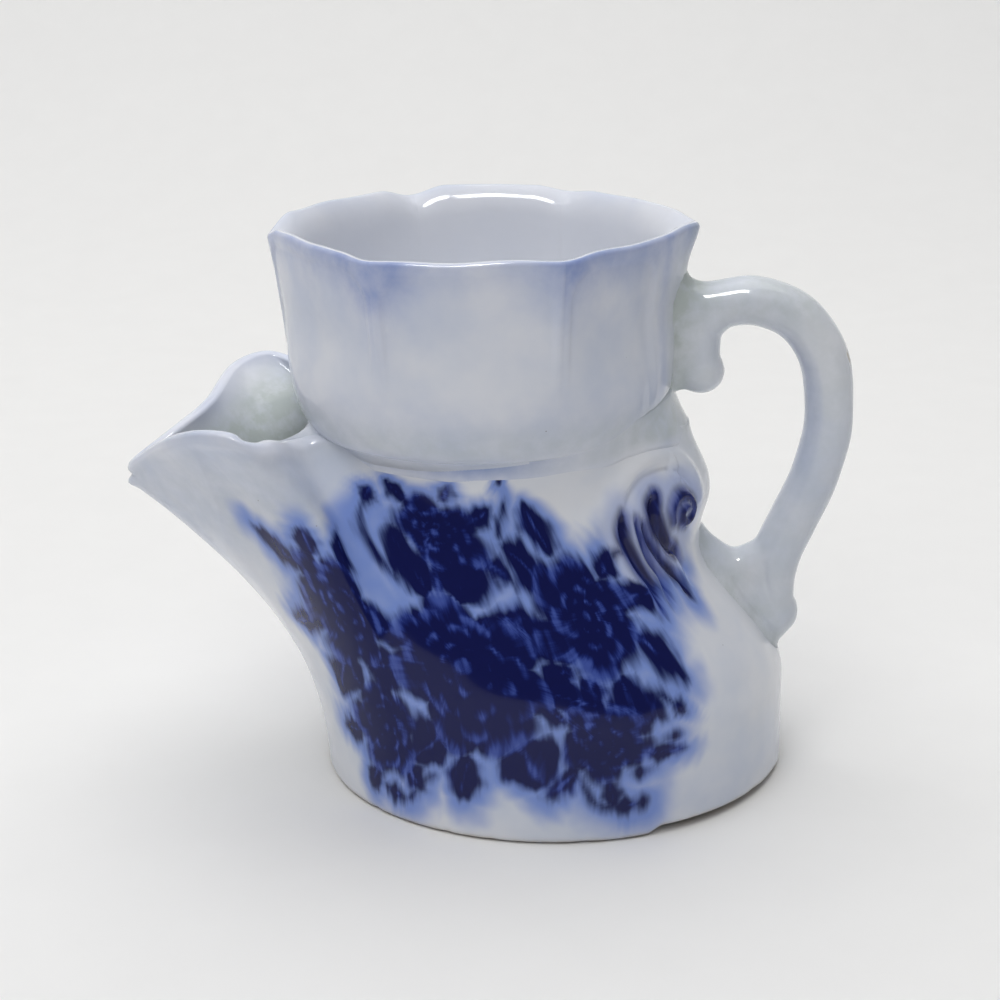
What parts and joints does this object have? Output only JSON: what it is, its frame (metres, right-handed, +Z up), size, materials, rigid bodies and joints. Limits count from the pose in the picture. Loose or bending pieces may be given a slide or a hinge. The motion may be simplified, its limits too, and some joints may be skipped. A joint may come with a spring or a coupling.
{
  "type": "shaving scuttle",
  "caption": "Glazed ceramic shaving scuttle: a water chamber with a wide pouring spout, a panelled soap bowl with a pierced floor seated on top, and a scrolled loop handle.",
  "frame": {"origin": "on the table plane, below the middle of the overall length and width", "axes": "+X from the spout towards the handle, +Y towards the back half, +Z up"},
  "size_m": [0.1518, 0.0904, 0.117],
  "materials": {
    "body_front": "clear gloss glaze over white with a blue print",
    "body_back": "clear gloss glaze over white with a blue print",
    "base_plate": "gloss glaze",
    "soap_bowl": "clear gloss glaze, blue tint at the rim",
    "soap_floor": "gloss glaze",
    "handle": "gloss glaze with a pale blue tint",
    "slip": "gloss glaze pooled in the joint"
  },
  "bodies": {
    "root": {"body_front": "body_front", "body_back": "body_back", "base_plate": "base_plate", "soap_bowl": "soap_bowl", "soap_floor": "soap_floor", "neck_bead_front": "slip", "neck_bead_back": "slip", "handle": "handle", "handle_top_pad": "slip", "handle_foot_pad": "slip"}
  },
  "joints": []
}
